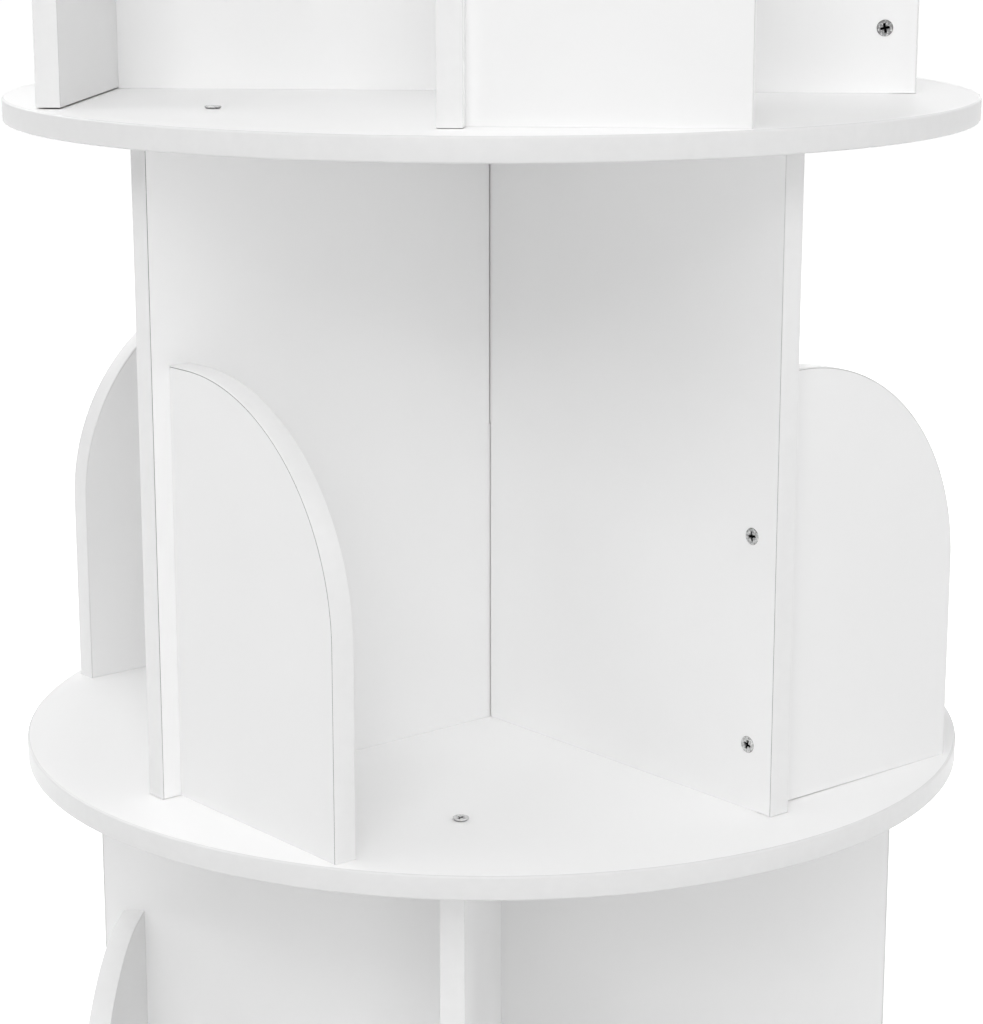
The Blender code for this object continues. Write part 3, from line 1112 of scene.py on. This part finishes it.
@dataclass(frozen=True)
class Base:
    """Still base board on a ring of rubber glides, each held by a sunken screw."""

    finishes: Finishes
    disc: RoundBoard = RoundBoard(320)
    glide_rounding: float = 1.4 * MM
    glide_well: float = 6.0 * MM
    glide_well_depth: float = 3.0 * MM
    glide_segments: int = 72
    screw: PanScrew = PanScrew()

    def build_glide(self, node: str) -> Matrix:
        """Turn one glide: a rounded pad with a well for its screw in the underside.

        Args:
            node: Solid that the glide stands for.

        Returns:
            Frame of its screw, looking down out of the well.
        """
        low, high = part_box(node)
        centre, radius = (low + high) / 2, (high.x - low.x) / 2
        floor = low.z + self.glide_well_depth
        well = self.glide_well
        corners = np.array([[well, high.z], [radius, high.z], [radius, low.z], [well, low.z], [well, floor],
                            [well / 2, floor]])
        radii = np.array([0.0, self.glide_rounding, self.glide_rounding, self.glide_rounding / 2, 0.0, 0.0])
        shell = Shell()
        shell.turn(filleted(corners, radii, self.disc.rounding_steps), self.glide_segments,
                   Matrix.Translation((centre.x, centre.y, 0.0)))
        settle(shell.piece(f"{node}_pad", self.finishes.rubber), Body.BASE, Slot.GLIDE, node)
        return Matrix.Translation((centre.x, centre.y, floor)) @ TURNED_OVER

    def build(self, glides: list[str]) -> None:
        """Build the board, the glides and their screws.

        Args:
            glides: Names of the glides' solids.
        """
        board = self.disc.shell(*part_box("base_board")).piece("base_board_disc", self.finishes.board)
        settle(board, Body.BASE, Slot.BOARD, "base_board")
        places = [self.build_glide(node) for node in glides]
        settle(self.screw.group("glide_screws", places, self.finishes), Body.BASE, Slot.STEEL)


@dataclass(frozen=True)
class Studio:
    """Pale floor, soft light and the camera at the photograph's angle."""

    frame_height_px: float = 1024.0
    focal_px: float = 2714.0
    sensor_mm: float = 36.0
    camera_distance: float = 1.304  # from the turning axis, level
    camera_height: float = 1.0755
    camera_azimuth: float = math.radians(4.9)
    camera_pitch: float = math.radians(13.32)
    floor_side: float = 80.0
    floor_rows: int = 3
    floor_colour: str = "#F8F8F8"
    floor_lift: tuple[float, float] = (0.25, 1.0)  # light added to the floor that is seen, near and far
    floor_reach: tuple[float, float] = (0.5, 2.2)  # distances from the axis where it has those values
    ambient: float = 0.02
    aim: Point = (0.0, 0.0, 0.9)
    lamp_side: float = 3.5
    lamps: tuple[tuple[str, Point, float], ...] = (
        ("front", (0.0, -6.0, 2.6), 83.8),
        ("front_top", (0.0, -4.2, 4.8), 99.5),
        ("front_right", (4.4, -4.4, 2.4), 26.3),
        ("right", (6.0, 0.0, 2.0), 37.0),
        ("left_front_top", (-4.0, -2.6, 4.6), 72.1),
        ("right_front_top", (4.0, -2.6, 4.6), 45.8),
        ("left_top", (-4.8, 0.0, 4.6), 72.1),
        ("right_top", (4.8, 0.0, 4.6), 39.0),
        ("back", (0.0, 6.0, 2.4), 55.0),
        ("back_left", (-4.0, 4.0, 4.4), 95.0),
        ("back_right", (4.0, 4.0, 4.4), 45.8),
    )

    def add_camera(self) -> None:
        """Set the camera on its circle about the axis, tilted down at the tower."""
        data = bpy.data.cameras.new("photo_camera")
        data.sensor_width = self.sensor_mm
        data.lens = self.focal_px * self.sensor_mm / self.frame_height_px
        camera = bpy.data.objects.new("photo_camera", data)
        out = Vector((math.sin(self.camera_azimuth), -math.cos(self.camera_azimuth), 0.0))
        camera.location = out * self.camera_distance + Vector((0.0, 0.0, self.camera_height))
        look = -out * math.cos(self.camera_pitch) - Vector((0.0, 0.0, math.sin(self.camera_pitch)))
        camera.rotation_euler = look.to_track_quat("-Z", "Y").to_euler()
        bpy.context.scene.collection.objects.link(camera)
        bpy.context.scene.camera = camera

    def add_lamp(self, name: str, place: Point, power: float) -> None:
        """Hang a square lamp that looks at the tower.

        Args:
            name: Side that it hangs on, which names it.
            place: Middle of the lamp.
            power: Its power in watts.
        """
        name += "_softbox"
        lamp = bpy.data.lights.new(name, "AREA")
        lamp.size = self.lamp_side
        lamp.energy = power
        holder = bpy.data.objects.new(name, lamp)
        holder.location = place
        holder.rotation_euler = (Vector(self.aim) - Vector(place)).to_track_quat("-Z", "Y").to_euler()
        bpy.context.scene.collection.objects.link(holder)

    def seen_directly(self, tree: NodeTree) -> Socket:
        """Tell whether a ray comes from the camera, a mirror or glass.

        Args:
            tree: Tree that asks.

        Returns:
            Output that is one for such a ray and zero for any other.
        """
        path = add_node(tree, "LightPath").outputs
        seen = path["Is Camera Ray"]
        for other in ("Is Glossy Ray", "Is Transmission Ray"):
            seen = add_node(tree, "Math", {0: seen, 1: path[other]}, operation="MAXIMUM").outputs[0]
        return seen

    def add_world(self) -> None:
        """Light the scene evenly from all round, and show white behind it."""
        world = bpy.data.worlds.new("studio")
        world.use_nodes = True
        bpy.context.scene.world = world
        tree = world.node_tree
        tree.nodes.clear()
        light, white = (add_node(tree, "Background", {"Color": linear(WHITE), "Strength": power}).outputs[0]
                        for power in (self.ambient, 1.0))
        mixed = add_node(tree, "MixShader", {0: self.seen_directly(tree), 1: light, 2: white})
        add_node(tree, "OutputWorld", {"Surface": mixed.outputs[0]})

    def add_floor(self) -> None:
        """Lay a pale floor that keeps shadows and comes out white where nothing shades it."""
        half = self.floor_side / 2
        across = np.linspace(-half, half, self.floor_rows)
        x, y = np.meshgrid(across, across)
        shell = Shell()
        shell.span(shell.add_points(np.stack([x, y, np.zeros_like(x)], axis=-1)))
        material = bpy.data.materials.new("pale_studio_floor")
        material.use_nodes = True
        tree = material.node_tree
        tree.nodes.clear()
        paint = add_node(tree, "BsdfDiffuse", {"Color": linear(self.floor_colour)})
        place = add_node(tree, "TexCoord").outputs["Object"]
        away = add_node(tree, "VectorMath", {0: place}, operation="LENGTH").outputs["Value"]
        (near, far), (low, high) = self.floor_reach, self.floor_lift
        sweep = add_node(tree, "MapRange", {"Value": away, "From Min": near, "From Max": far,
                                            "To Min": low, "To Max": high}).outputs["Result"]
        lift = add_node(tree, "Math", {0: self.seen_directly(tree), 1: sweep}, operation="MULTIPLY")
        glow = add_node(tree, "Emission", {"Strength": lift.outputs[0]})
        both = add_node(tree, "AddShader", {0: paint.outputs[0], 1: glow.outputs[0]})
        add_node(tree, "OutputMaterial", {"Surface": both.outputs[0]})
        shell.piece("studio_floor", [material])

    def build(self) -> None:
        """Set up the camera, the light and the floor."""
        bpy.context.scene.view_settings.view_transform = "Standard"
        self.add_camera()
        self.add_world()
        self.add_floor()
        for name, place, power in self.lamps:
            self.add_lamp(name, place, power)


def main() -> None:
    """Build the bookcase from the floor up, then the studio."""
    logging.basicConfig(level=logging.INFO, format="%(name)s: %(message)s")
    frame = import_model()
    tiers = sum(name.endswith("_core_a") for name in frame["nodes"])
    turns = {number: (tiers - number) * QUARTER_TURN / 2 for number in range(1, tiers + 1)}
    finishes = Finishes()
    Base(finishes).build(sorted(name for name in frame["nodes"] if name.startswith("glide_")))
    Turntable(finishes).build()
    for number in range(1, tiers + 2):
        proud = PROUD_HEAD if number <= tiers else FLUSH_HEAD
        Shelf(finishes, number, turns.get(number - 1), turns.get(number), proud).build()
    for number, turn in turns.items():
        Tier(finishes, number, tiers, turn).build()
    Studio().build()


if __name__ == "__main__":
    main()
